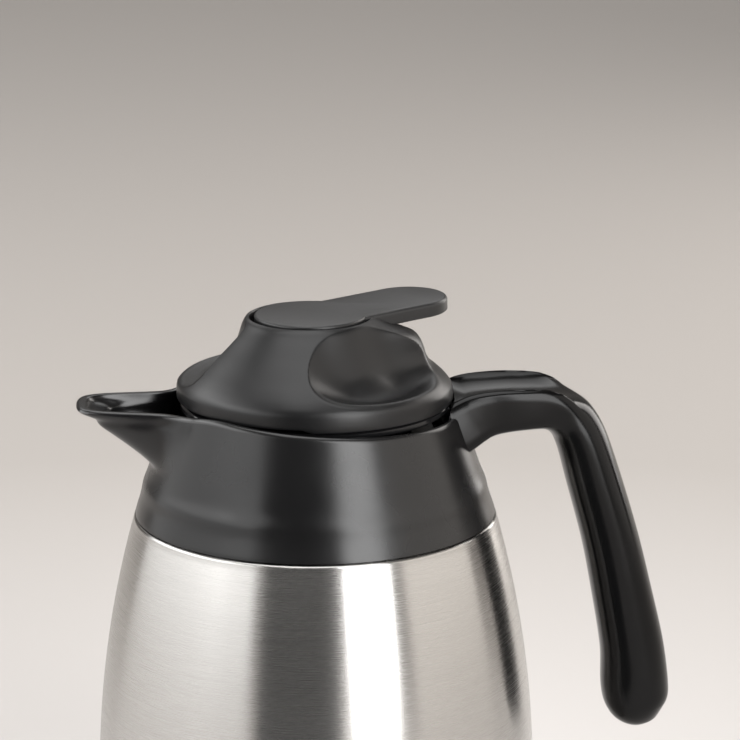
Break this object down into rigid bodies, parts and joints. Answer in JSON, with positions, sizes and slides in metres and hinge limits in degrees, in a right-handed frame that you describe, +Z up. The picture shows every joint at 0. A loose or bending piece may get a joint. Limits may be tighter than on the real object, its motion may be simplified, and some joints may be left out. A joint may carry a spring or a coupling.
{
  "type": "thermal carafe",
  "caption": "Double-walled steel vacuum carafe with a beak spout, an open C handle and a twist-off lid whose disc is a thumb lever for the pouring valve.",
  "frame": {"origin": "on the body axis at the underside of the base pad", "axes": "+Z up along the body axis, +X towards the handle, -X towards the spout"},
  "size_m": [0.1878, 0.1388, 0.2193],
  "materials": {
    "body_steel": "brushed round the body, satin",
    "inner_steel": "plain satin",
    "collar_plastic": "satin, fine moulded grain",
    "handle_plastic": "semi-gloss",
    "lid_plastic": "matte, fine moulded grain",
    "lever_plastic": "matte, fine moulded grain",
    "stopper_plastic": "gloss",
    "base_plastic": "satin",
    "pad_rubber": "matte",
    "silicone": "matte, translucent grey",
    "valve_plastic": "satin",
    "small_steel": "bright",
    "getter_metal": "dull"
  },
  "bodies": {
    "carafe": {"outer_shell": "body_steel", "shell_shoulder": "inner_steel", "inner_flask": "inner_steel", "flask_bottom": "inner_steel", "flask_neck": "inner_steel", "shell_bottom": "inner_steel", "getter": "getter_metal", "vacuum_plug": "inner_steel", "base_cup": "base_plastic", "base_pad": "pad_rubber", "collar": "collar_plastic", "bowl_floor": "collar_plastic", "collar_seal": "silicone", "bayonet_ring": "collar_plastic", "handle": "handle_plastic", "handle_screws": "small_steel"},
    "lid_seal": {"stopper_gasket": "silicone"},
    "lid": {"lid_shell": "lid_plastic", "stopper_flange": "stopper_plastic", "stopper_body": "stopper_plastic", "lid_screws": "small_steel", "lever_pin": "small_steel", "stem_seal": "silicone", "valve_spring": "small_steel"},
    "lever": {"thumb_lever": "lever_plastic"},
    "valve": {"valve_stem": "small_steel", "valve_plug": "valve_plastic", "valve_seal": "silicone", "valve_nut": "small_steel"}
  },
  "joints": [
    {"name": "lid_lift", "type": "slide", "parent": "carafe", "child": "lid_seal", "axis": [0, 0, 1], "range_m": [0, 0.09]},
    {"name": "lid_turn", "type": "hinge", "parent": "lid_seal", "child": "lid", "pos_m": [0, 0, 0.19], "axis": [0, 0, 1], "range_deg": [-30, 0]},
    {"name": "thumb_lever", "type": "hinge", "parent": "lid", "child": "lever", "pos_m": [0.01212, 0.007, 0.21], "axis": [-0.5, 0.866, 0], "range_deg": [0, 8], "stiffness_Nm_per_rad": 0.1, "springref_deg": -20.05},
    {"name": "valve_lift", "type": "slide", "parent": "lid", "child": "valve", "axis": [0, 0, 1], "range_m": [0, 0.0023], "deforming": ["valve_spring"]}
  ],
  "couplings": [
    {"joint": "valve_lift", "follows": "thumb_lever", "m_per_rad": 0.016}
  ]
}
